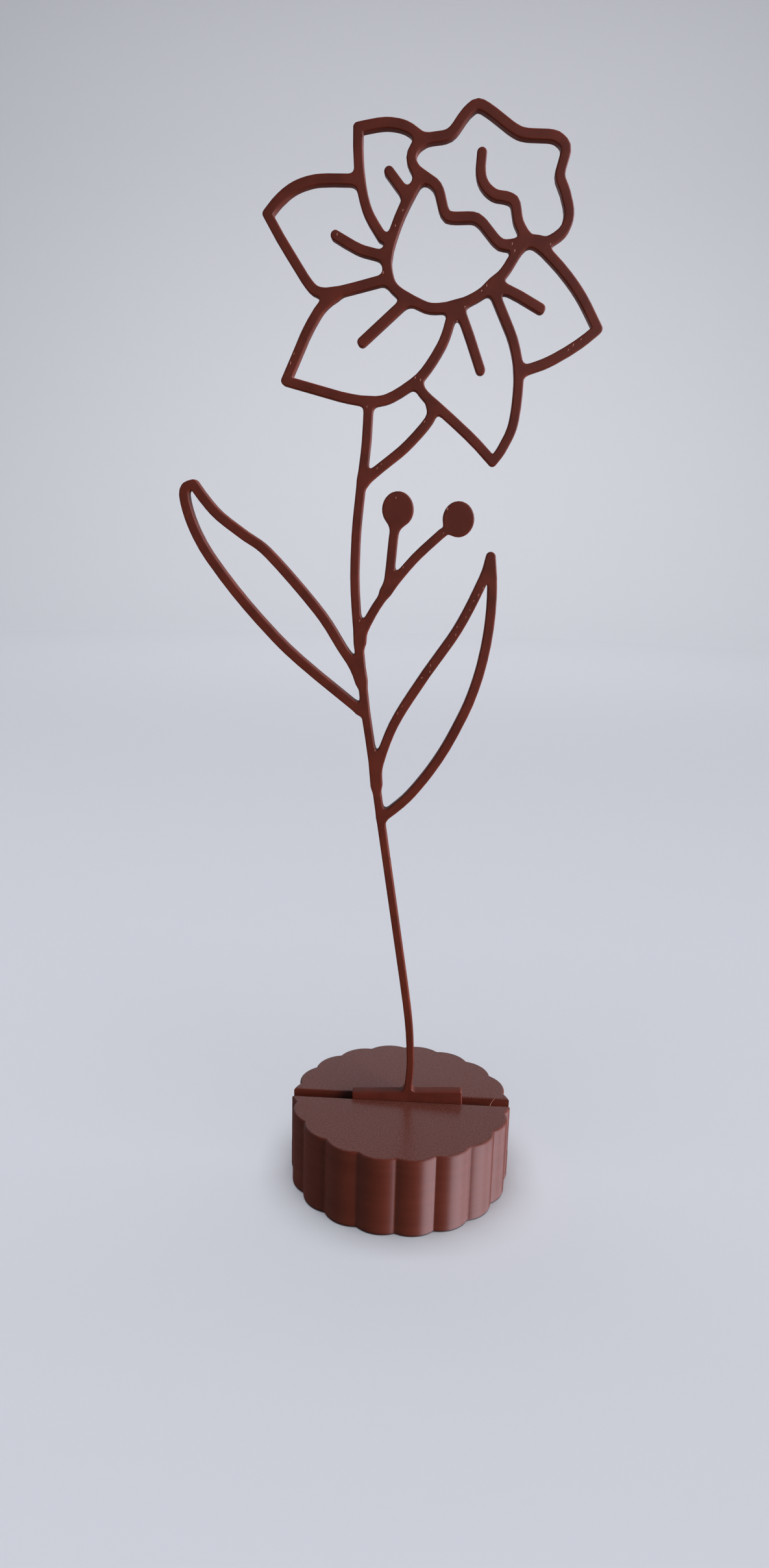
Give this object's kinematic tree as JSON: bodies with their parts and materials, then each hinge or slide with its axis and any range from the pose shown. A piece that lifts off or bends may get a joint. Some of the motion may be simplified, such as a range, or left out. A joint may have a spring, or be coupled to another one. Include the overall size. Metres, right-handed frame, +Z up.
{
  "type": "narcissus flower ornament with slotted base",
  "caption": "Flat line-drawn narcissus with cup, petals, leaves and bud sprig, printed as one plate whose foot bar stands in the slot of a round fluted base.",
  "frame": {"origin": "centre of the base's flat underside, on the axis of the round base", "axes": "+Z up along the stem, +X along the slot to the right of the flower seen from its face, -Y the way the flower's face looks"},
  "size_m": [0.0817, 0.0494, 0.2207],
  "materials": {
    "flower_plastic": "satin brown printed plastic, with a smooth ironed face and faint layer lines on its edges",
    "base_plastic": "satin brown printed plastic, with a fine matte grain on top and shinier flutes"
  },
  "bodies": {
    "root": {"flower": "flower_plastic", "base": "base_plastic"}
  },
  "joints": []
}
